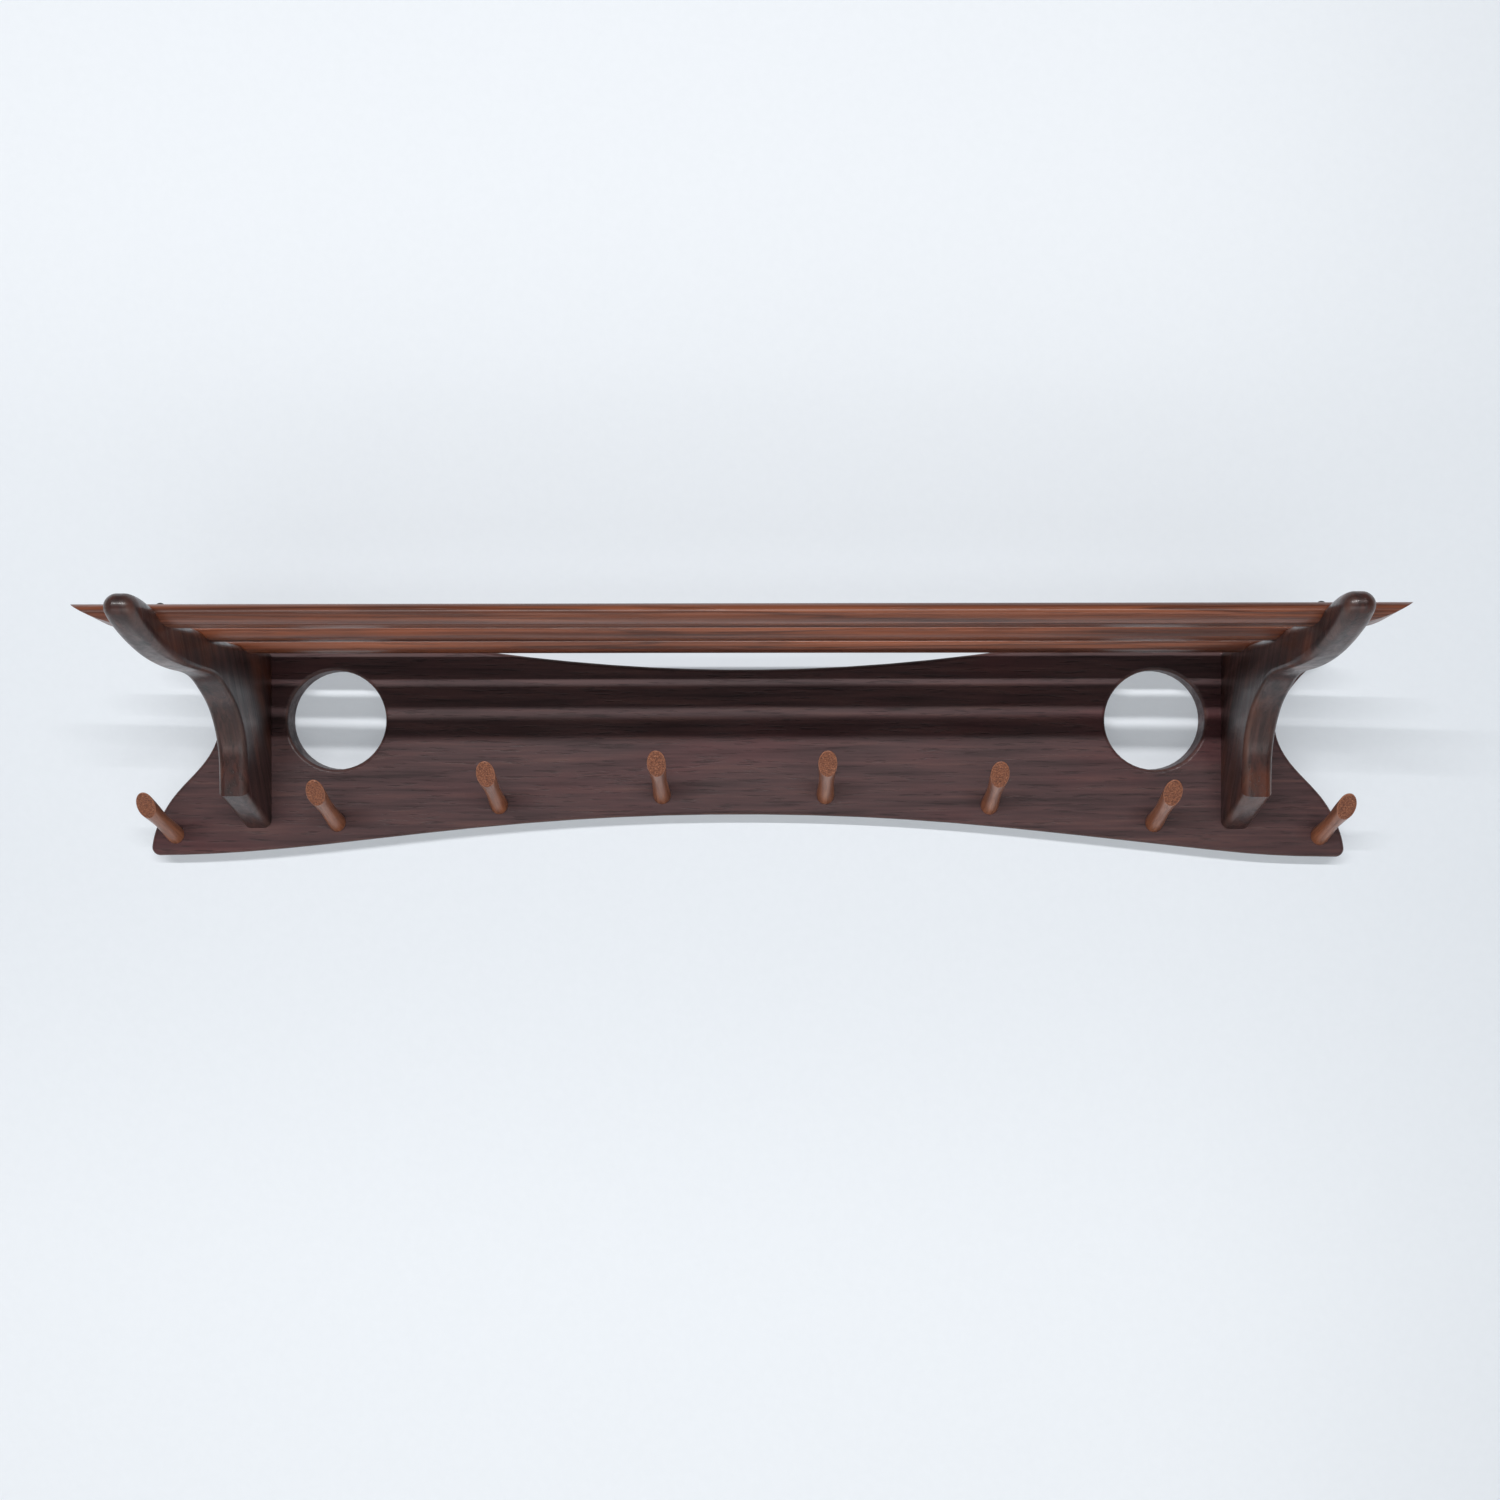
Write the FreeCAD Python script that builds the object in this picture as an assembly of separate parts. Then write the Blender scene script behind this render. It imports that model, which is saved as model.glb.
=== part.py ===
import FreeCAD, Part
import math
import os

# A wall coat rack with a slatted hat shelf.
#
# Lengths are in millimetres. +X runs along the rack to the viewer's right, +Y points
# into the wall and +Z points up. The origin lies on the rear face of the board, at its
# middle. "Reach" is the distance in front of the board's front face.

# Board
BOARD_LENGTH = 1004.0
BOARD_HEIGHT_AT_MIDDLE = 122.0
BOARD_HEIGHT_AT_ENDS = 192.0
BOARD_TOP_LENGTH = 972.0
BOARD_WAIST_LENGTH = 889.0
BOARD_WAIST_Z = 13.0
BOARD_THICKNESS = 22.0
LOWER_CORNER_RADIUS = 7.0
UPPER_CORNER_RADIUS = 9.0
FRONT_ROUNDING = 3.0
REAR_ROUNDING = 1.0

# Round windows through the board
WINDOW_DIAMETER = 83.5
WINDOW_SPACING = 688.0
WINDOW_Z = 18.5

# Brackets
BRACKET_SPACING = 822.0
BRACKET_THICKNESS = 24.0
BRACKET_REACH = 272.0
BRACKET_TIP_Z = 99.0
NOSE_RADIUS = 8.5
NOSE_LOWER_ANGLE = 50.0
LEG_REACH = 59.5
HEEL_Z = -43.8
SOLE_SLOPE = 25.8
# Edge radii at the start and end of the top, nose, arm underside, leg front and sole
BRACKET_ROUNDINGS = [(3.0, 9.5), (9.5, 9.5), (9.5, 3.0), (3.0, 6.5), (6.5, 6.5)]

# Slats
SLAT_LENGTH = 924.5
SLAT_WIDTH = 34.0
SLAT_THICKNESS = 14.8
SLAT_FULLNESS = 2.3
SLAT_QUARTER_POINTS = 8
SLAT_UPSWEEP_LENGTH = 38.0
SLAT_TIP_THICKNESS = 1.6
# Each slat's reach, the height of its underside and its tilt in degrees
SLATS = {
    "front_slat": (218.0, 80.3, 8.0),
    "middle_slat": (133.0, 75.9, 3.0),
    "rear_slat": (51.0, 71.9, 1.0),
}

# Coat pegs
PEG_COUNT = 8
PEG_PITCH = 137.4
PEG_HEIGHT_OVER_EDGE = 18.0
PEG_TILT = 24.0
PEG_LENGTH = 65.5
PEG_FACE_SLOPE = 60.0
PEG_BASE_RADIUS = 7.4
PEG_WAIST_RADIUS = 6.15
PEG_HEAD_RADIUS = 7.65
PEG_HOLE_DEPTH = 15.0
PEG_HOLE_OVERSHOOT = 8.0
PEG_EDGE_ROUNDING = 0.6

# Hardware
SLIP = 0.1
SCREW_TIP_RADIUS = 0.25
SCREW_TIP_RATIO = 2.5
DOME_SCREW_SPACING = 808.0
DOME_HEAD_RADIUS = 3.4
DOME_HEAD_HEIGHT = 2.2
DOME_SHANK_RADIUS = 1.75
DOME_SHANK_LENGTH = 28.0
BRACKET_SCREW_HEIGHTS = (-38.0, 34.0)
BRACKET_SCREW_LENGTH = 50.0
BRACKET_SCREW_RADIUS = 2.5
BRACKET_SCREW_HEAD_RADIUS = 4.8
BRACKET_SCREW_HEAD_DEPTH = 2.8
HANGER_SPACING = 500.0
HANGER_Z = 36.0
HANGER_WIDTH = 20.0
HANGER_HEIGHT = 50.0
HANGER_THICKNESS = 2.0
KEYHOLE_ENTRY_RADIUS = 5.0
KEYHOLE_SLOT_RADIUS = 2.75
KEYHOLE_RISE = 12.0
KEYHOLE_POCKET_DEPTH = 12.0
HANGER_SCREW_OFFSET = 19.0
HANGER_SCREW_LENGTH = 14.0
HANGER_SCREW_RADIUS = 1.7
HANGER_SCREW_HEAD_RADIUS = 3.2
HANGER_SCREW_HEAD_DEPTH = 1.6

FRONT_Y = -BOARD_THICKNESS
ORIGIN = FreeCAD.Vector(0, 0, 0)
X_AXIS = FreeCAD.Vector(1, 0, 0)
Y_AXIS = FreeCAD.Vector(0, 1, 0)
Z_AXIS = FreeCAD.Vector(0, 0, 1)


def reach_point(reach, z, x=0.0):
    """A point given by its distance in front of the board and its height."""
    return FreeCAD.Vector(x, FRONT_Y - reach, z)


def smooth_edge(points, start_direction, end_direction):
    """One smooth curve through the points, leaving and arriving in the given directions."""
    curve = Part.BSplineCurve()
    curve.interpolate(Points=points, InitialTangent=start_direction, FinalTangent=end_direction)
    return curve.toShape()


def straight_edge(start, end):
    return Part.makeLine(start, end)


def solid_from_wire(edges, direction):
    return Part.Face(Part.Wire(edges)).extrude(direction)


def cylinder(radius, start, direction, length):
    return Part.makeCylinder(radius, length, start, direction)


def mirrored(shape):
    """The same shape on the other side of the rack's middle."""
    return shape.mirror(ORIGIN, X_AXIS)


def edge_curve_z(x, table):
    """Height of the board's top or bottom edge at a distance x from the middle."""
    points = [FreeCAD.Vector(px, 0, pz) for px, pz in mirrored_points(table)]
    curve = smooth_edge(points, X_AXIS, X_AXIS)
    upright = straight_edge(FreeCAD.Vector(x, 0, -BOARD_LENGTH), FreeCAD.Vector(x, 0, BOARD_LENGTH))
    nearest_points = curve.distToShape(upright)[1]
    return nearest_points[0][0].z


def mirrored_points(table):
    """The points of a half edge, from the middle outwards, repeated on both sides."""
    left = [(-x, z) for x, z in reversed(table[1:])]
    return left + list(table)


def board_edges():
    """Half outlines of the board's top, bottom and right-hand edges as (x, z) points."""
    middle = BOARD_HEIGHT_AT_MIDDLE / 2
    end = BOARD_HEIGHT_AT_ENDS / 2
    half_length = BOARD_LENGTH / 2
    half_top = BOARD_TOP_LENGTH / 2
    half_waist = BOARD_WAIST_LENGTH / 2
    top = [(0, middle), (130, middle + 5.6), (230, middle + 17), (330, end - 4.5), (half_top, end)]
    bottom = [(0, -middle), (130, -middle - 3.8), (260, -middle - 15), (400, -end + 4.8), (half_length, -end)]
    side = [
        (half_length, -end),
        (half_length - 4.5, -end + 24),
        (half_length - 20.7, -end + 52),
        (half_waist + 9.5, BOARD_WAIST_Z - 26),
        (half_waist, BOARD_WAIST_Z),
        (half_waist + 9.0, BOARD_WAIST_Z + 26),
        (half_top - 10, end - 32),
        (half_top, end),
    ]
    return top, bottom, side


def board_outline():
    """The closed outline of the board in the plane of its rear face."""
    top, bottom, side = board_edges()

    def placed(points):
        return [FreeCAD.Vector(x, 0, z) for x, z in points]

    left_side = [(-x, z) for x, z in side]
    right = smooth_edge(placed(side), Z_AXIS, Z_AXIS)
    left = smooth_edge(placed(left_side), Z_AXIS, Z_AXIS)
    upper = smooth_edge(placed(mirrored_points(top)), X_AXIS, X_AXIS)
    lower = smooth_edge(placed(mirrored_points(bottom)), X_AXIS, X_AXIS)
    return [lower, right, upper, left]


def corner_edges(shape, sign):
    """The four straight edges through the thickness, above (+1) or below (-1) the middle."""
    found = []
    for edge in shape.Edges:
        start = edge.Vertexes[0].Point
        end = edge.Vertexes[-1].Point
        through = abs(start.y - end.y) > 0.9 * BOARD_THICKNESS
        if through and sign * edge.CenterOfMass.z > 0:
            found.append(edge)
    return found


def plane_edges(shape, y):
    """All edges that lie in the plane at this y."""
    return [e for e in shape.Edges if abs(e.BoundBox.YMin - y) < 1e-3 and abs(e.BoundBox.YMax - y) < 1e-3]


def peg_axis():
    tilt = math.radians(PEG_TILT)
    return FreeCAD.Vector(0, -math.cos(tilt), math.sin(tilt))


def peg_base(index):
    """The point where a peg's axis leaves the board's front face."""
    x = (index - (PEG_COUNT - 1) / 2) * PEG_PITCH
    bottom = board_edges()[1]
    return FreeCAD.Vector(x, FRONT_Y, edge_curve_z(x, bottom) + PEG_HEIGHT_OVER_EDGE)


def coat_peg(index):
    """A turned peg: full at the base, narrow at the waist, wide at an obliquely sawn head."""
    profile = [
        (PEG_BASE_RADIUS, 0.0),
        (PEG_BASE_RADIUS - 0.35, 9.0),
        (PEG_WAIST_RADIUS, 33.0),
        (PEG_WAIST_RADIUS + 0.75, 49.0),
        (PEG_HEAD_RADIUS, 66.0),
        (PEG_HEAD_RADIUS - 0.1, 86.0),
    ]
    side = smooth_edge([FreeCAD.Vector(r, 0, s) for r, s in profile], Z_AXIS, Z_AXIS)
    top_radius, top = profile[-1]
    foot = -PEG_HOLE_DEPTH
    edges = [
        straight_edge(FreeCAD.Vector(0, 0, foot), FreeCAD.Vector(PEG_BASE_RADIUS, 0, foot)),
        straight_edge(FreeCAD.Vector(PEG_BASE_RADIUS, 0, foot), FreeCAD.Vector(PEG_BASE_RADIUS, 0, 0)),
        side,
        straight_edge(FreeCAD.Vector(top_radius, 0, top), FreeCAD.Vector(0, 0, top)),
        straight_edge(FreeCAD.Vector(0, 0, top), FreeCAD.Vector(0, 0, foot)),
    ]
    turned = Part.Face(Part.Wire(edges)).revolve(ORIGIN, Z_AXIS, 360)
    turned.rotate(ORIGIN, X_AXIS, 90 - PEG_TILT)
    turned.translate(peg_base(index))
    face_middle = peg_base(index) + peg_axis() * PEG_LENGTH
    slope = math.radians(PEG_FACE_SLOPE)
    outward = FreeCAD.Vector(0, -math.sin(slope), -math.cos(slope))
    waste = cylinder(PEG_LENGTH, face_middle, outward, PEG_LENGTH)
    sawn = turned.cut(waste)
    rim = [e for e in sawn.Edges if on_plane(e, face_middle, outward)]
    return sawn.makeFillet(PEG_EDGE_ROUNDING, rim)


def on_plane(edge, point, normal):
    """True when the whole edge lies in the plane."""
    return all(abs((p - point).dot(normal)) < 1e-3 for p in edge.discretize(7))


def peg_holes():
    """Blind holes in the board's front face for the pegs' feet."""
    holes = []
    for index in range(PEG_COUNT):
        base = peg_base(index)
        foot = base - peg_axis() * PEG_HOLE_DEPTH
        holes.append(cylinder(PEG_BASE_RADIUS + SLIP, foot, peg_axis(), PEG_HOLE_DEPTH + PEG_HOLE_OVERSHOOT))
    return holes


def pointed_shank(start, direction, radius, length, slip):
    """The shank of a wood screw, with a tapered point."""
    tip_length = SCREW_TIP_RATIO * radius
    straight = length - tip_length + slip
    shank = cylinder(radius + slip, start, direction, straight)
    tip_start = start + direction * straight
    tip = Part.makeCone(radius + slip, SCREW_TIP_RADIUS + slip, tip_length, tip_start, direction)
    return shank.fuse(tip)


def countersunk_screw(head_centre, direction, shank_radius, length, head_radius, head_depth, slip=0.0):
    """A wood screw with a flush conical head and a tapered point."""
    head = Part.makeCone(head_radius + slip, shank_radius + slip, head_depth, head_centre, direction)
    shank = pointed_shank(head_centre, direction, shank_radius, length, slip)
    return head.fuse(shank).removeSplitter()


def bracket_screw(z, slip=0.0):
    """One screw from the board's rear face forwards into the right bracket's leg."""
    centre = FreeCAD.Vector(BRACKET_SPACING / 2, 0, z)
    forward = Y_AXIS * -1
    return countersunk_screw(
        centre, forward, BRACKET_SCREW_RADIUS, BRACKET_SCREW_LENGTH,
        BRACKET_SCREW_HEAD_RADIUS, BRACKET_SCREW_HEAD_DEPTH, slip)


def hanger_screw(z, slip=0.0):
    """One small screw that holds the right hanger plate."""
    centre = FreeCAD.Vector(HANGER_SPACING / 2, 0, z)
    return countersunk_screw(
        centre, Y_AXIS * -1, HANGER_SCREW_RADIUS, HANGER_SCREW_LENGTH,
        HANGER_SCREW_HEAD_RADIUS, HANGER_SCREW_HEAD_DEPTH, slip)


def hanger_plate_blank(grow=0.0):
    """The right hanger plate without its keyhole, with rounded ends."""
    radius = HANGER_WIDTH / 2 + grow
    half_straight = HANGER_HEIGHT / 2 - HANGER_WIDTH / 2
    forward = Y_AXIS * -1
    centre = FreeCAD.Vector(HANGER_SPACING / 2, 0, HANGER_Z)
    bottom = cylinder(radius, centre - Z_AXIS * half_straight, forward, HANGER_THICKNESS)
    top = cylinder(radius, centre + Z_AXIS * half_straight, forward, HANGER_THICKNESS)
    corner = centre + FreeCAD.Vector(-radius, -HANGER_THICKNESS, -half_straight)
    middle = Part.makeBox(2 * radius, HANGER_THICKNESS, 2 * half_straight, corner)
    return bottom.fuse(top).fuse(middle).removeSplitter()


def keyhole(depth, entry_radius, slot_radius):
    """A round entry below and a narrow slot above it, cut forwards from the rear face."""
    forward = Y_AXIS * -1
    entry_centre = FreeCAD.Vector(HANGER_SPACING / 2, 0, HANGER_Z - KEYHOLE_RISE / 2)
    slot_top = entry_centre + Z_AXIS * KEYHOLE_RISE
    entry = cylinder(entry_radius, entry_centre, forward, depth)
    end = cylinder(slot_radius, slot_top, forward, depth)
    corner = entry_centre + FreeCAD.Vector(-slot_radius, -depth, 0)
    slot = Part.makeBox(2 * slot_radius, depth, KEYHOLE_RISE, corner)
    return entry.fuse(end).fuse(slot).removeSplitter()


def right_hanger_plate():
    plate = hanger_plate_blank().cut(keyhole(HANGER_THICKNESS, KEYHOLE_ENTRY_RADIUS, KEYHOLE_SLOT_RADIUS))
    for side in (-1, 1):
        plate = plate.cut(hanger_screw(HANGER_Z + side * HANGER_SCREW_OFFSET, SLIP))
    return plate


def right_hanger_screws():
    return [hanger_screw(HANGER_Z + side * HANGER_SCREW_OFFSET) for side in (-1, 1)]


def right_bracket_screws():
    return [bracket_screw(z) for z in BRACKET_SCREW_HEIGHTS]


def backboard():
    """The board with windows, peg holes and the recesses behind it."""
    board = solid_from_wire(board_outline(), FreeCAD.Vector(0, FRONT_Y, 0))
    board = board.makeFillet(LOWER_CORNER_RADIUS, corner_edges(board, -1))
    board = board.makeFillet(UPPER_CORNER_RADIUS, corner_edges(board, 1))
    for sign in (-1, 1):
        centre = FreeCAD.Vector(sign * WINDOW_SPACING / 2, 1, WINDOW_Z)
        window = cylinder(WINDOW_DIAMETER / 2, centre, Y_AXIS * -1, BOARD_THICKNESS + 2)
        board = board.cut(window)
    board = board.makeFillet(FRONT_ROUNDING, plane_edges(board, FRONT_Y))
    board = board.makeFillet(REAR_ROUNDING, plane_edges(board, 0))
    recesses = [hanger_plate_blank(SLIP)]
    recesses.append(keyhole(KEYHOLE_POCKET_DEPTH, KEYHOLE_ENTRY_RADIUS + 1, KEYHOLE_ENTRY_RADIUS + 1))
    for side in (-1, 1):
        recesses.append(hanger_screw(HANGER_Z + side * HANGER_SCREW_OFFSET, SLIP))
    for z in BRACKET_SCREW_HEIGHTS:
        recesses.append(bracket_screw(z, SLIP))
    for recess in recesses:
        board = board.cut(recess).cut(mirrored(recess))
    for hole in peg_holes():
        board = board.cut(hole)
    return board


def arc_points(reach, z, radius, start_angle, end_angle):
    """Start, middle and end of an arc in a bracket's side view. Angles run up from straight ahead."""
    points = []
    for angle in (start_angle, (start_angle + end_angle) / 2, end_angle):
        turn = math.radians(angle)
        points.append(reach_point(reach + radius * math.cos(turn), z + radius * math.sin(turn)))
    return points


def bracket_profile():
    """Side view of a bracket: the top that carries the slats, the nose, the curved leg and its sole."""
    top = [(0, 75.0), (68, 77.0), (122, 80.4), (190, 87.2), (228, 92.0)]
    arm_underside = [(244, 70.5), (214, 61), (152, 53), (106, 43)]
    leg_front = [(80, 25), (65, 3), (LEG_REACH, HEEL_Z)]
    arm_slope = FreeCAD.Vector(0, 0.87, -0.5)
    nose_points = arc_points(
        BRACKET_REACH - NOSE_RADIUS, BRACKET_TIP_Z - NOSE_RADIUS, NOSE_RADIUS, 90, -NOSE_LOWER_ANGLE)
    sole_back = reach_point(0, HEEL_Z - LEG_REACH * math.tan(math.radians(SOLE_SLOPE)))
    top_points = [reach_point(p, z) for p, z in top] + [nose_points[0]]
    arm_points = [nose_points[2]] + [reach_point(p, z) for p, z in arm_underside]
    leg_points = [arm_points[-1]] + [reach_point(p, z) for p, z in leg_front]
    turn = math.radians(NOSE_LOWER_ANGLE)
    back_under = FreeCAD.Vector(0, math.sin(turn), -math.cos(turn))
    forward = Y_AXIS * -1
    return [
        smooth_edge(top_points, forward, forward),
        Part.Arc(*nose_points).toShape(),
        smooth_edge(arm_points, back_under, arm_slope),
        smooth_edge(leg_points, arm_slope, Z_AXIS * -1),
        straight_edge(leg_points[-1], sole_back),
        straight_edge(sole_back, top_points[0]),
    ]


def same_place(a, b):
    """True when two points match in the bracket's side view."""
    return abs(a.y - b.y) < 0.01 and abs(a.z - b.z) < 0.01


def rounding_table(body, profile):
    """Which edges of the plain bracket are rounded, with the radius at each edge's two ends."""
    table = []
    for number, edge in enumerate(body.Edges, 1):
        first = edge.valueAt(edge.FirstParameter)
        last = edge.valueAt(edge.LastParameter)
        for outline_edge, (start_radius, end_radius) in zip(profile, BRACKET_ROUNDINGS):
            start = outline_edge.valueAt(outline_edge.FirstParameter)
            end = outline_edge.valueAt(outline_edge.LastParameter)
            if same_place(first, start) and same_place(last, end):
                table.append((number, start_radius, end_radius))
            if same_place(first, end) and same_place(last, start):
                table.append((number, end_radius, start_radius))
    return table


def rounded_bracket():
    """A bracket about its own middle plane, with edges that are fullest around the nose."""
    profile = bracket_profile()
    plain = solid_from_wire(profile, FreeCAD.Vector(BRACKET_THICKNESS, 0, 0))
    plain.translate(FreeCAD.Vector(-BRACKET_THICKNESS / 2, 0, 0))
    document = FreeCAD.newDocument("bracket")
    base = document.addObject("Part::Feature", "plain")
    base.Shape = plain
    rounding = document.addObject("Part::Fillet", "rounding")
    rounding.Base = base
    rounding.Edges = rounding_table(plain, profile)
    document.recompute()
    return rounding.Shape.copy()


def right_bracket():
    """The right bracket, with notches for the slats and pilot holes for its screws."""
    body = rounded_bracket()
    body.translate(FreeCAD.Vector(BRACKET_SPACING / 2, 0, 0))
    for name in SLATS:
        body = body.cut(slat_body(name))
    for screw in right_slat_screws(SLIP):
        body = body.cut(screw)
    for z in BRACKET_SCREW_HEIGHTS:
        body = body.cut(bracket_screw(z, SLIP))
    return body


def slat_section():
    """The closed section of a slat, a full oval that stands on the origin, in four quarters."""
    power = 2 / SLAT_FULLNESS
    directions = [Z_AXIS, Y_AXIS * -1, Z_AXIS * -1, Y_AXIS]
    quarters = []
    for number in range(4):
        points = []
        for step in range(SLAT_QUARTER_POINTS):
            turn = math.pi / 2 * (number + step / (SLAT_QUARTER_POINTS - 1))
            across = math.copysign(abs(math.cos(turn)) ** power, math.cos(turn))
            up = math.copysign(abs(math.sin(turn)) ** power, math.sin(turn))
            points.append(FreeCAD.Vector(0, across * SLAT_WIDTH / 2, (1 + up) * SLAT_THICKNESS / 2))
        quarters.append(smooth_edge(points, directions[number], directions[(number + 1) % 4]))
    return Part.Wire(quarters)


def slat_end_waste():
    """What is taken from under the end of a slat, with the slat's tip above the origin."""
    rise = SLAT_THICKNESS - SLAT_TIP_THICKNESS
    margin = SLAT_TIP_THICKNESS * 3

    def at(x, z):
        return FreeCAD.Vector(x, -SLAT_WIDTH, z)

    start = -SLAT_UPSWEEP_LENGTH
    sweep = Part.BezierCurve()
    sweep.setPoles([at(start, 0), at(start / 2, 0), at(0, rise)])
    edges = [
        sweep.toShape(),
        straight_edge(at(0, rise), at(margin, rise)),
        straight_edge(at(margin, rise), at(margin, -margin)),
        straight_edge(at(margin, -margin), at(start, -margin)),
        straight_edge(at(start, -margin), at(start, 0)),
    ]
    return solid_from_wire(edges, FreeCAD.Vector(0, 2 * SLAT_WIDTH, 0))


def slat_body(name):
    """A slat in its place, without screw holes."""
    reach, underside, tilt = SLATS[name]
    slat = Part.Face(slat_section()).extrude(FreeCAD.Vector(SLAT_LENGTH, 0, 0))
    slat.translate(FreeCAD.Vector(-SLAT_LENGTH / 2, 0, 0))
    right_waste = slat_end_waste()
    right_waste.translate(FreeCAD.Vector(SLAT_LENGTH / 2, 0, 0))
    slat = slat.cut(right_waste).cut(mirrored(right_waste))
    slat.rotate(ORIGIN, X_AXIS, -tilt)
    slat.translate(reach_point(reach, underside))
    return slat


def screw_seat(name):
    """Where a dome screw's head sits on the slat over the right bracket, and its upward direction."""
    reach, underside, tilt = SLATS[name]
    lean = math.radians(tilt)
    up = FreeCAD.Vector(0, math.sin(lean), math.cos(lean))
    return reach_point(reach, underside, DOME_SCREW_SPACING / 2) + up * SLAT_THICKNESS, up


def dome_screw(name, slip=0.0):
    """One dome-headed wood screw through a slat into the right bracket."""
    seat, up = screw_seat(name)
    ball_radius = (DOME_HEAD_RADIUS ** 2 + DOME_HEAD_HEIGHT ** 2) / (2 * DOME_HEAD_HEIGHT)
    ball = Part.makeSphere(ball_radius, seat + up * (DOME_HEAD_HEIGHT - ball_radius))
    head = ball.common(cylinder(2 * DOME_HEAD_RADIUS, seat, up, 2 * DOME_HEAD_HEIGHT))
    shank = pointed_shank(seat, up * -1, DOME_SHANK_RADIUS, DOME_SHANK_LENGTH, slip)
    return head.fuse(shank).removeSplitter()


def right_slat_screws(slip=0.0):
    return [dome_screw(name, slip) for name in SLATS]


def slat(name):
    """A finished slat with a clearance hole over each bracket."""
    seat, up = screw_seat(name)
    above = seat + up * SLAT_THICKNESS
    hole = cylinder(DOME_SHANK_RADIUS + SLIP, above, up * -1, 3 * SLAT_THICKNESS)
    return slat_body(name).cut(hole).cut(mirrored(hole))


def checked(shape, name):
    """The shape, when each of its solids is sound."""
    for solid in shape.Solids:
        if not solid.isValid() or solid.Volume <= 0:
            raise ValueError("unsound solid in " + name)
    return shape


def write_node(name, shape):
    checked(shape, name).exportStep("parts/" + name + ".step")
    print(name, len(shape.Solids), round(shape.Volume / 1000, 2), "cm3")


def write_pair(name, shape):
    """One node on the right of the rack and its mirror image on the left."""
    write_node("right_" + name, shape)
    write_node("left_" + name, mirrored(shape))


os.makedirs("parts", exist_ok=True)
write_node("backboard", backboard())
write_pair("bracket", right_bracket())
for slat_name in SLATS:
    write_node(slat_name, slat(slat_name))
for peg_index in range(PEG_COUNT):
    write_node("coat_peg_%d" % (peg_index + 1), coat_peg(peg_index))
write_pair("slat_screws", Part.makeCompound(right_slat_screws()))
write_pair("bracket_screws", Part.makeCompound(right_bracket_screws()))
write_pair("hanger_plate", right_hanger_plate())
write_pair("hanger_screws", Part.makeCompound(right_hanger_screws()))
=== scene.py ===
import math

import bpy
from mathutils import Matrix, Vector


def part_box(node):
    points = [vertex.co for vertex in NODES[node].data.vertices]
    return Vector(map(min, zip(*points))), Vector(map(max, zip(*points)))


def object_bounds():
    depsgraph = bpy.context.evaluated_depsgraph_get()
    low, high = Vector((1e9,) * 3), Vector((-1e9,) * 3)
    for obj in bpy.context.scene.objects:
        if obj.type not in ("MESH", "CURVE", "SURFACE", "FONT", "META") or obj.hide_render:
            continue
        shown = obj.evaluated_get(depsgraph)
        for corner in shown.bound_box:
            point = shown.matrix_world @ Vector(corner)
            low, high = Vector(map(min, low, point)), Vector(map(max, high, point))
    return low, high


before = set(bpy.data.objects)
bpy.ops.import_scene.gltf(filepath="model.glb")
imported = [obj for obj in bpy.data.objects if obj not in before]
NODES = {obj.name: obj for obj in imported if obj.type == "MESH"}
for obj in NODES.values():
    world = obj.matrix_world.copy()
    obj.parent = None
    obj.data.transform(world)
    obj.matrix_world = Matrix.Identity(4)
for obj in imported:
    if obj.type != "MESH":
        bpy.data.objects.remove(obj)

# The looks of a wall coat rack with a slatted hat shelf. Metres, in the CAD frame:
# +X along the rack, +Y into the wall, +Z up, the wall face of the board at y = 0.

CAD_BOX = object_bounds()

# Directions of the wood fibres, as an angle above straight ahead (-Y)
PEG_TILT = 24.0
BRACKET_GRAIN_ANGLE = 62.0
# How far the pegs' sawn faces lean forwards from facing down
PEG_FACE_SLOPE = 60.0

# Metres by which each slat's and each peg's noise is shifted from the last one's, so that no two
# have the same grain
SLAT_SHIFT = 0.9
PEG_SHIFT = (0.37, 0.53, 0.71)
# Where the slats' painted end shade starts and is full, in from the end of the board
SLAT_END_START, SLAT_END_FULL = 0.05, 0.035


# ---------------------------------------------------------------- material graphs

NOISE_ROUGHNESS = 0.55
# The levels between which a noise carries the roughness and the roller's colour
NOISE_LOW, NOISE_HIGH = 0.3, 0.7
# Half the width, in noise levels, of a dark line drawn where a noise passes a level
LINE_HALF_WIDTH = 0.04
# How high the fibres stand in the relief, where a full pore is 1 deep
FIBRE_RELIEF = 0.5
# Sockets of the colour mix node, which shares their names between its kinds of data
MIX_A, MIX_B, MIX_RESULT = 6, 7, 2

# The painted highlight on rounded edges, lighter where light would catch them
# How much a face looks along an edge's direction where its rounding starts and ends
ARRIS_RISE = (0.15, 0.6)
ARRIS_FALL = (0.75, 0.98)
ARRIS_BREAKS_PER_METRE = (55, 55, 55)
# The noise levels between which the painted highlight on the rounded edges goes from its least to all of it
ARRIS_BREAKS = (0.35, 0.65)
ARRIS_LEAST = 0.35


def tint(red, green, blue):
    """A colour given by its 0 to 255 screen values, as linear light."""
    linear = []
    for level in (red, green, blue):
        share = level / 255
        linear.append(share / 12.92 if share <= 0.04045 else ((share + 0.055) / 1.055) ** 2.4)
    return (*linear, 1.0)


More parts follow.
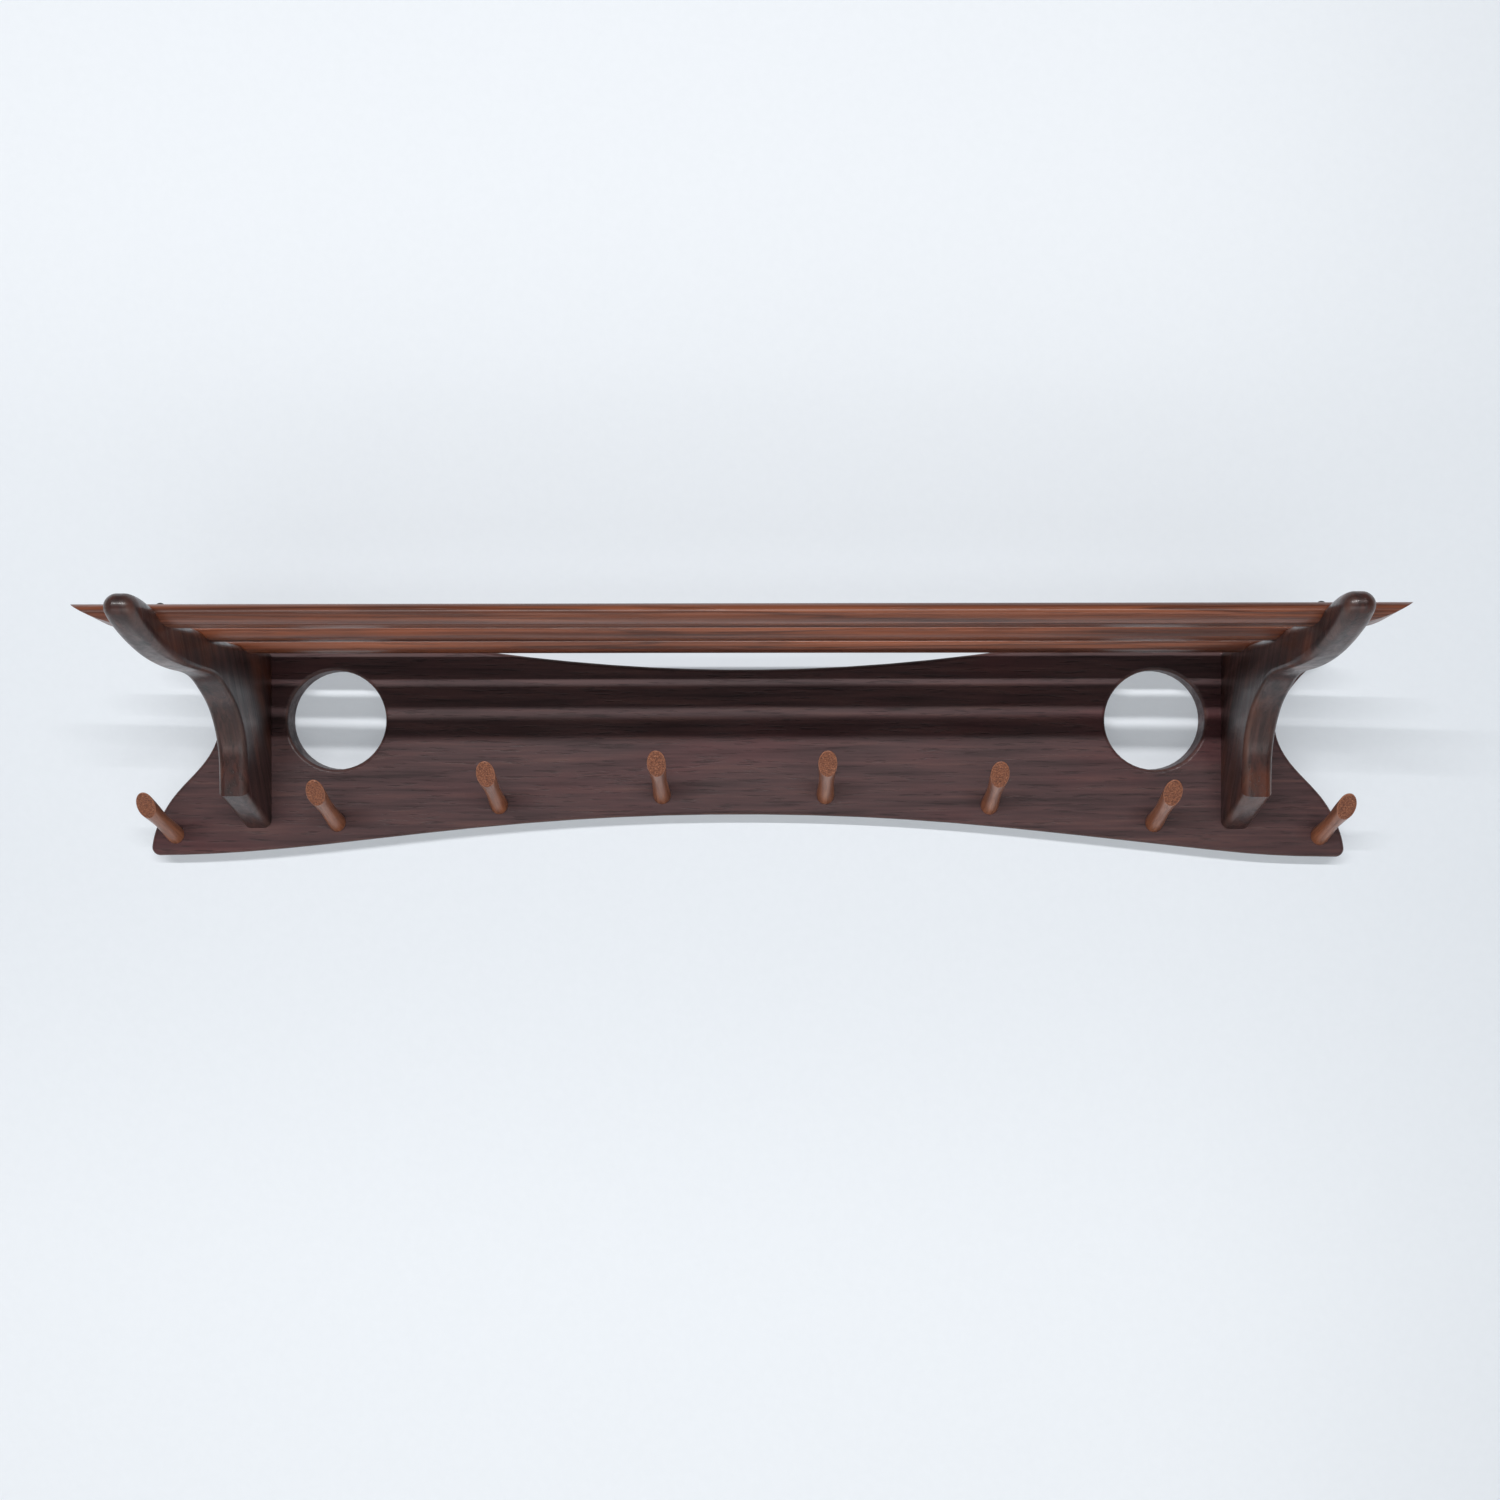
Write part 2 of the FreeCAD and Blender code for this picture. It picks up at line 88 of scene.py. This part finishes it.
class Graph:
    """One material's node tree. Each call adds a node and returns the socket it gives."""

    def __init__(self, name):
        self.material = bpy.data.materials.new(name)
        self.material.use_nodes = True
        self.tree = self.material.node_tree
        self.shader = self.tree.nodes["Principled BSDF"]
        coordinates = self.add("ShaderNodeTexCoord")
        self.place = coordinates.outputs["Object"]
        self.normal = coordinates.outputs["Normal"]

    def add(self, kind, **settings):
        node = self.tree.nodes.new(kind)
        for key, value in settings.items():
            setattr(node, key, value)
        return node

    def feed(self, socket, value):
        """Joins a socket to another node's output, or sets its value."""
        if isinstance(value, bpy.types.NodeSocket):
            self.tree.links.new(value, socket)
        else:
            socket.default_value = value

    def set_shader(self, **values):
        """Sets the shader's own sockets. Underscores stand for the spaces in their names."""
        for key, value in values.items():
            self.shader.inputs[key.replace("_", " ")].default_value = value

    def vector_math(self, operation, vector, other):
        node = self.add("ShaderNodeVectorMath", operation=operation)
        self.feed(node.inputs[0], vector)
        self.feed(node.inputs[1], other)
        return node.outputs["Value" if operation == "DOT_PRODUCT" else "Vector"]

    def turned(self, vector, degrees):
        """The vector turned about X."""
        node = self.add("ShaderNodeVectorRotate", rotation_type="X_AXIS")
        self.feed(node.inputs["Vector"], vector)
        node.inputs["Angle"].default_value = math.radians(degrees)
        return node.outputs["Vector"]

    def noise(self, vector, per_metre, detail, distortion=0.0):
        """Cloudy noise from 0 to 1, with this many features per metre along X, Y and Z."""
        node = self.add("ShaderNodeTexNoise")
        self.feed(node.inputs["Vector"], self.vector_math("MULTIPLY", vector, per_metre))
        node.inputs["Scale"].default_value = 1.0
        node.inputs["Detail"].default_value = detail
        node.inputs["Roughness"].default_value = NOISE_ROUGHNESS
        node.inputs["Distortion"].default_value = distortion
        return node.outputs["Fac"]

    def calc(self, operation, first, second=0.0):
        node = self.add("ShaderNodeMath", operation=operation)
        self.feed(node.inputs[0], first)
        self.feed(node.inputs[1], second)
        return node.outputs["Value"]

    def times(self, first, second):
        return self.calc("MULTIPLY", first, second)

    def remap(self, value, low, high, new_low=0.0, new_high=1.0):
        """The value carried smoothly from one range to another, held at both ends."""
        node = self.add("ShaderNodeMapRange", interpolation_type="SMOOTHSTEP")
        self.feed(node.inputs["Value"], value)
        for socket, number in zip(node.inputs[1:5], (low, high, new_low, new_high)):
            socket.default_value = number
        return node.outputs["Result"]

    def ramp(self, value, stops):
        """A colour for the value, from (level, screen colour) stops."""
        node = self.add("ShaderNodeValToRGB")
        elements = node.color_ramp.elements
        while len(elements) < len(stops):
            elements.new(1.0)
        for element, (level, screen_colour) in zip(elements, stops):
            element.position = level
            element.color = tint(*screen_colour)
        self.feed(node.inputs["Fac"], value)
        return node.outputs["Color"]

    def mix(self, share, first, second):
        node = self.add("ShaderNodeMix", data_type="RGBA", blend_type="MIX")
        self.feed(node.inputs[0], share)
        self.feed(node.inputs[MIX_A], first)
        self.feed(node.inputs[MIX_B], second)
        return node.outputs[MIX_RESULT]

    def stain(self, colour, noise, start, full, share, screen_colour):
        """The colour with up to this share of another, rising as the noise goes from start to full."""
        return self.mix(self.remap(noise, start, full, 0.0, share), colour, tint(*screen_colour))

    def cover(self, colour, mask, share, screen_colour):
        """The colour with this share of another wherever the mask is 1."""
        return self.mix(self.times(mask, share), colour, tint(*screen_colour))

    def band(self, value, rise, fall):
        """1 between the two ranges: up over the first, and down again over the second."""
        return self.times(self.remap(value, *rise), self.remap(value, fall[1], fall[0]))

    def line_mask(self, noise, level):
        """1 where the noise passes this level, which draws thin lines."""
        return self.band(noise, (level - LINE_HALF_WIDTH, level), (level, level + LINE_HALF_WIDTH))

    def finish(self, colour, roughness, height, depth):
        """Feeds the shader. The relief's depth is in metres."""
        self.feed(self.shader.inputs["Base Color"], colour)
        self.feed(self.shader.inputs["Roughness"], roughness)
        bump = self.add("ShaderNodeBump")
        bump.inputs["Strength"].default_value = 1.0
        bump.inputs["Distance"].default_value = depth
        self.feed(bump.inputs["Height"], height)
        self.feed(self.shader.inputs["Normal"], bump.outputs["Normal"])
        return self.material


def arris_highlight(graph, direction):
    """A painted highlight, up to 1 and broken up by noise, on the rounded edges round the faces that look
    along a direction.
    """
    facing = graph.calc("ABSOLUTE", graph.vector_math("DOT_PRODUCT", graph.normal, direction))
    rising = graph.remap(facing, *ARRIS_RISE)
    falling = graph.remap(facing, *ARRIS_FALL, 1.0, 0.0)
    noise = graph.noise(graph.place, ARRIS_BREAKS_PER_METRE, 3)
    return graph.times(graph.times(rising, falling), graph.remap(noise, *ARRIS_BREAKS, ARRIS_LEAST, 1.0))


def oil(graph, film, film_roughness, gloss):
    """A thin satin film of oil over the wood, and the gloss of the wood under it."""
    graph.set_shader(Specular_IOR_Level=gloss, Coat_Weight=film, Coat_Roughness=film_roughness)


def fibre_roughness(graph, fibres, between, on):
    """The roughness between the fibres and on them."""
    return graph.remap(fibres, NOISE_LOW, NOISE_HIGH, between, on)


def wood_height(graph, fibres, pore_mask, pore_depth=None):
    """Fibres that stand up and pores that sink, by 1 unless another depth is given."""
    pores = pore_mask if pore_depth is None else graph.times(pore_mask, pore_depth)
    return graph.calc("SUBTRACT", graph.times(fibres, FIBRE_RELIEF), pores)


def board_wood():
    """Dark rosewood-coloured board: fine fibres along X, short dark pores, faint reddish patches."""
    graph = Graph("board_wood")
    fibres = graph.noise(graph.place, (9, 190, 190), 6, 0.3)
    pores = graph.noise(graph.place, (45, 620, 620), 3)
    patches = graph.noise(graph.place, (4, 11, 14), 3)
    colour = graph.ramp(fibres, [
        (0.28, (46, 30, 31)), (0.45, (65, 45, 46)), (0.58, (76, 53, 53)), (0.75, (90, 65, 62))])
    reddish, greyish, pore_dark, edge_highlight = (84, 42, 45), (54, 43, 42), (26, 15, 16), (104, 78, 70)
    colour = graph.stain(colour, patches, 0.5, 0.72, 0.45, reddish)
    colour = graph.stain(colour, patches, 0.46, 0.3, 0.35, greyish)
    pore_mask = graph.remap(pores, 0.56, 0.68)
    colour = graph.cover(colour, pore_mask, 0.5, pore_dark)
    # Painted highlight on the rounded edges round the board's front and rear faces
    colour = graph.cover(colour, arris_highlight(graph, (0, 1, 0)), 0.4, edge_highlight)
    oil(graph, film=0.06, film_roughness=0.25, gloss=0.22)
    roughness = fibre_roughness(graph, fibres, between=0.5, on=0.36)
    return graph.finish(colour, roughness, wood_height(graph, fibres, pore_mask), depth=0.00012)


def bracket_wood():
    """Dark brown hardwood, with the grain from the foot up into the arm and orange-brown patches."""
    graph = Graph("bracket_wood")
    along = graph.turned(graph.place, BRACKET_GRAIN_ANGLE - 90)
    fibres = graph.noise(along, (150, 150, 8), 6, 0.4)
    lines = graph.noise(along, (60, 60, 3), 4, 0.6)
    pores = graph.noise(along, (620, 620, 36), 3)
    patches = graph.noise(along, (26, 26, 9), 3)
    colour = graph.ramp(fibres, [
        (0.28, (34, 19, 18)), (0.45, (52, 31, 29)), (0.6, (66, 40, 36)), (0.78, (84, 55, 45))])
    line_dark, orange, pore_dark, edge_highlight = (26, 14, 12), (96, 50, 30), (20, 11, 10), (112, 84, 74)
    colour = graph.cover(colour, graph.line_mask(lines, 0.5), 0.55, line_dark)
    colour = graph.stain(colour, patches, 0.5, 0.68, 0.55, orange)
    pore_mask = graph.remap(pores, 0.57, 0.68)
    colour = graph.cover(colour, pore_mask, 0.4, pore_dark)
    # Painted highlight on the rounded edges round the bracket's side faces
    colour = graph.cover(colour, arris_highlight(graph, (1, 0, 0)), 0.28, edge_highlight)
    oil(graph, film=0.35, film_roughness=0.2, gloss=0.35)
    roughness = fibre_roughness(graph, fibres, between=0.44, on=0.3)
    return graph.finish(colour, roughness, wood_height(graph, fibres, pore_mask), depth=0.0001)


def slat_wood(name, shift):
    """Oiled teak slat: long streaks along X with thin dark lines, and painted shade darkening the thin
    ends.
    """
    graph = Graph(name)
    place = graph.vector_math("ADD", graph.place, (shift, shift, 0))
    streaks = graph.noise(place, (3.2, 120, 120), 6, 0.35)
    lines = graph.noise(place, (1.6, 62, 62), 4, 0.5)
    pores = graph.noise(place, (12, 430, 430), 3)
    patches = graph.noise(place, (7, 30, 30), 3)
    colour = graph.ramp(streaks, [
        (0.28, (72, 35, 23)), (0.44, (101, 54, 35)), (0.56, (118, 66, 44)), (0.75, (146, 88, 62))])
    line_dark, orange, pore_dark, end_shade = (58, 28, 19), (134, 68, 36), (64, 33, 22), (80, 42, 30)
    colour = graph.cover(colour, graph.line_mask(lines, 0.49), 0.75, line_dark)
    colour = graph.stain(colour, patches, 0.52, 0.7, 0.4, orange)
    pore_mask = graph.remap(pores, 0.55, 0.68)
    colour = graph.cover(colour, pore_mask, 0.5, pore_dark)
    # Painted shade darkening the slats' thin ends
    from_middle = graph.calc("ABSOLUTE", graph.vector_math("DOT_PRODUCT", graph.place, (1, 0, 0)))
    board_end = CAD_BOX[1][0]
    start, full = board_end - SLAT_END_START, board_end - SLAT_END_FULL
    colour = graph.stain(colour, from_middle, start, full, 0.35, end_shade)
    oil(graph, film=0.2, film_roughness=0.22, gloss=0.35)
    roughness = fibre_roughness(graph, streaks, between=0.46, on=0.32)
    height = wood_height(graph, streaks, pore_mask, pore_depth=0.7)
    return graph.finish(colour, roughness, height, depth=0.00012)


def peg_wood(name, number):
    """A turned teak peg: fibres along its axis, and speckled end grain with a pale rim on its sawn face."""
    graph = Graph(name)
    low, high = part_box(name)
    centred = graph.vector_math("SUBTRACT", graph.place, tuple((low + high) / 2))
    along = graph.turned(centred, PEG_TILT - 90)
    own = graph.vector_math("ADD", along, tuple(step * number for step in PEG_SHIFT))
    fibres = graph.noise(own, (230, 230, 16), 5, 0.3)
    pores = graph.noise(own, (1300, 1300, 90), 2)
    patches = graph.noise(own, (30, 30, 12), 2)
    colour = graph.ramp(fibres, [
        (0.28, (104, 60, 41)), (0.45, (130, 79, 55)), (0.6, (148, 94, 68)), (0.78, (166, 112, 84))])
    orange, pore_dark, rim_pale = (138, 76, 44), (78, 42, 29), (158, 108, 80)
    colour = graph.stain(colour, patches, 0.48, 0.7, 0.4, orange)
    pore_mask = graph.remap(pores, 0.56, 0.68)
    colour = graph.cover(colour, pore_mask, 0.4, pore_dark)
    slope = math.radians(PEG_FACE_SLOPE)
    out_of_face = (0, -math.sin(slope), -math.cos(slope))
    facing = graph.vector_math("DOT_PRODUCT", graph.normal, out_of_face)
    sawn = graph.remap(facing, 0.955, 0.99)
    speckles = graph.noise(own, (900, 900, 900), 3)
    end_grain = graph.ramp(speckles, [
        (0.34, (72, 38, 24)), (0.47, (110, 63, 41)), (0.6, (130, 78, 52)), (0.74, (164, 112, 82))])
    colour = graph.mix(sawn, colour, end_grain)
    colour = graph.cover(colour, graph.band(facing, (0.8, 0.93), (0.95, 0.985)), 0.5, rim_pale)
    oil(graph, film=0.2, film_roughness=0.22, gloss=0.35)
    rougher_if_sawn = graph.times(sawn, 0.18)
    roughness = graph.calc("ADD", fibre_roughness(graph, fibres, between=0.4, on=0.3), rougher_if_sawn)
    height = graph.calc("ADD", wood_height(graph, fibres, pore_mask), graph.times(sawn, speckles))
    return graph.finish(colour, roughness, height, depth=0.0001)


def bronzed_steel():
    """Dark bronzed screw heads, with a painted highlight on their upward-facing crowns."""
    graph = Graph("bronzed_steel")
    mottle = graph.noise(graph.place, (420, 420, 420), 4)
    colour = graph.ramp(mottle, [(0.35, (30, 22, 20)), (0.55, (52, 40, 36)), (0.75, (82, 64, 54))])
    crown_highlight = (120, 98, 82)
    # Painted highlight where the crowns face up
    upward = graph.vector_math("DOT_PRODUCT", graph.normal, (0, 0, 1))
    colour = graph.stain(colour, upward, 0.9, 1.0, 0.4, crown_highlight)
    graph.set_shader(Metallic=0.75)
    roughness = graph.remap(mottle, NOISE_LOW, NOISE_HIGH, 0.5, 0.34)
    return graph.finish(colour, roughness, mottle, depth=0.00005)


def zinc_steel():
    """Bright zinc plate: faint bluish mottle and fine brushing along X."""
    graph = Graph("zinc_steel")
    brushing = graph.noise(graph.place, (60, 2400, 2400), 3)
    mottle = graph.noise(graph.place, (160, 160, 160), 4)
    colour = graph.ramp(mottle, [(0.35, (148, 152, 158)), (0.55, (176, 179, 182)), (0.75, (196, 196, 190))])
    graph.set_shader(Metallic=1.0)
    roughness = graph.remap(brushing, NOISE_LOW, NOISE_HIGH, 0.42, 0.26)
    return graph.finish(colour, roughness, brushing, depth=0.00003)


def paint(node_name, material):
    mesh = NODES[node_name].data
    mesh.materials.clear()
    mesh.materials.append(material)


def paint_all():
    """Gives every CAD node its finish. The pegs and slats each have grain of their own."""
    board, bracket, bronzed, zinc = board_wood(), bracket_wood(), bronzed_steel(), zinc_steel()
    slats = [name for name in sorted(NODES) if name.endswith("_slat")]
    pegs = [name for name in sorted(NODES) if name.startswith("coat_peg")]
    for name in sorted(NODES):
        if name == "backboard":
            paint(name, board)
        elif name.endswith("_bracket"):
            paint(name, bracket)
        elif name.endswith("_slat_screws"):
            paint(name, bronzed)
        elif name in slats:
            paint(name, slat_wood(name, SLAT_SHIFT * (slats.index(name) + 1)))
        elif name in pegs:
            paint(name, peg_wood(name, pegs.index(name) + 1))
        else:
            paint(name, zinc)


# ---------------------------------------------------------------- stage

# The wall stands this far behind the board, so that the two don't coincide
WALL_GAP = 0.002
STAGE_HALF_WIDTH = 3.0
FLOOR_Z = -1.1
WALL_TOP = 2.2
WALL_COLOUR = (176, 179, 183)
FLOOR_COLOUR = (228, 228, 226)
ROLLER_COLOUR = (150, 154, 158)
PAINT_ROUGHNESS = 0.9

# Painted light: the wall's own glow, level with the rack, above and below it, and to the right; dimmer
# level with the rack and to the right as painted shade
SHADED_GLOW_LEVEL, GLOW_AWAY, SHADED_GLOW_RIGHT = (150, 155, 160), (166, 170, 174), (134, 140, 146)
GLOW_HEIGHTS = (0.08, 0.5)
GLOW_RIGHT_FROM_TO = (0.3, 0.75)

# Lamps: where they stand, their width and height, and their watts
STRIP_PLACE, STRIP_SIZE, STRIP_POWER = (-0.25, -3.0, 1.05), (3.0, 0.025), 100
LOW_PANEL_PLACE, LOW_PANEL_SIZE, LOW_PANEL_POWER = (0.0, -1.6, -0.9), (2.2, 0.4), 4.5
SKY_COLOUR = (0.95, 0.98, 1.0, 1.0)
SKY_STRENGTH = 0.05

# The camera's angles are degrees from looking straight at the wall: down is negative, and left is
# positive. Its lens and sensor width are in millimetres
CAMERA_PLACE = (0.028, -1.282, -0.0025)
CAMERA_PITCH = -0.19
CAMERA_YAW = 1.03
LENS = SENSOR = 36.0


def stage_plane(name, corners, material):
    mesh = bpy.data.meshes.new(name)
    mesh.from_pydata(corners, [], [(0, 1, 2, 3)])
    mesh.materials.append(material)
    plane = bpy.data.objects.new(name, mesh)
    bpy.context.scene.collection.objects.link(plane)


def matt_paint(name, screen_colour):
    """Matt pale paint with a faint roller texture."""
    graph = Graph(name)
    roller = graph.noise(graph.place, (140, 140, 140), 3)
    colour = graph.stain(tint(*screen_colour), roller, NOISE_LOW, NOISE_HIGH, 0.06, ROLLER_COLOUR)
    graph.finish(colour, PAINT_ROUGHNESS, roller, depth=0.0001)
    return graph


def add_painted_glow(graph):
    """Paints light on the wall as a glow of its own, with painted shade where it is least, level with the
    rack and to the right.
    """
    height = graph.calc("ABSOLUTE", graph.vector_math("DOT_PRODUCT", graph.place, (0, 0, 1)))
    across = graph.vector_math("DOT_PRODUCT", graph.place, (1, 0, 0))
    # Painted light, dimmed as painted shade level with the rack and to the right
    glow = graph.stain(tint(*SHADED_GLOW_LEVEL), height, *GLOW_HEIGHTS, 1.0, GLOW_AWAY)
    glow = graph.stain(glow, across, *GLOW_RIGHT_FROM_TO, 0.5, SHADED_GLOW_RIGHT)
    graph.feed(graph.shader.inputs["Emission Color"], glow)
    graph.set_shader(Emission_Strength=1.0)


def clear_from_behind(graph):
    """Makes the wall's rear side clear, so that it doesn't hide the rear of the rack."""
    geometry = graph.add("ShaderNodeNewGeometry")
    clear = graph.add("ShaderNodeBsdfTransparent")
    choice = graph.add("ShaderNodeMixShader")
    graph.feed(choice.inputs[0], geometry.outputs["Backfacing"])
    graph.feed(choice.inputs[1], graph.shader.outputs[0])
    graph.feed(choice.inputs[2], clear.outputs[0])
    graph.feed(graph.tree.nodes["Material Output"].inputs["Surface"], choice.outputs[0])


def build_stage():
    side, low, high = STAGE_HALF_WIDTH, FLOOR_Z, WALL_TOP
    wall_y = CAD_BOX[1][1] + WALL_GAP
    wall_paint = matt_paint("wall_paint", WALL_COLOUR)
    # Painted light: the wall glows though it is no lamp
    add_painted_glow(wall_paint)
    clear_from_behind(wall_paint)
    wall = [(-side, wall_y, low), (side, wall_y, low), (side, wall_y, high), (-side, wall_y, high)]
    stage_plane("wall", wall, wall_paint.material)
    floor = [(-side, -side, low), (side, -side, low), (side, side, low), (-side, side, low)]
    stage_plane("floor", floor, matt_paint("floor_paint", FLOOR_COLOUR).material)


def area_light(name, place, size, power):
    """A rectangular lamp aimed at the middle of the board's wall face."""
    data = bpy.data.lights.new(name, "AREA")
    data.shape = "RECTANGLE"
    data.size, data.size_y = size
    data.energy = power
    lamp = bpy.data.objects.new(name, data)
    bpy.context.scene.collection.objects.link(lamp)
    lamp.location = place
    aim = Vector((0, 0, 0)) - Vector(place)
    lamp.rotation_euler = aim.to_track_quat("-Z", "Y").to_euler()


def build_lights():
    """A long thin strip above the viewer, a broad soft panel below, and a faint even sky."""
    area_light("strip", STRIP_PLACE, STRIP_SIZE, STRIP_POWER)
    area_light("low_panel", LOW_PANEL_PLACE, LOW_PANEL_SIZE, LOW_PANEL_POWER)
    world = bpy.data.worlds.new("studio")
    bpy.context.scene.world = world
    world.use_nodes = True
    background = world.node_tree.nodes["Background"]
    background.inputs["Color"].default_value = SKY_COLOUR
    background.inputs["Strength"].default_value = SKY_STRENGTH


def build_camera():
    data = bpy.data.cameras.new("camera")
    data.sensor_width = SENSOR
    data.lens = LENS
    camera = bpy.data.objects.new("camera", data)
    bpy.context.scene.collection.objects.link(camera)
    camera.location = CAMERA_PLACE
    camera.rotation_euler = (math.radians(90 + CAMERA_PITCH), 0, math.radians(CAMERA_YAW))
    bpy.context.scene.camera = camera


paint_all()
build_stage()
build_lights()
build_camera()
bpy.context.scene.view_settings.view_transform = "Standard"
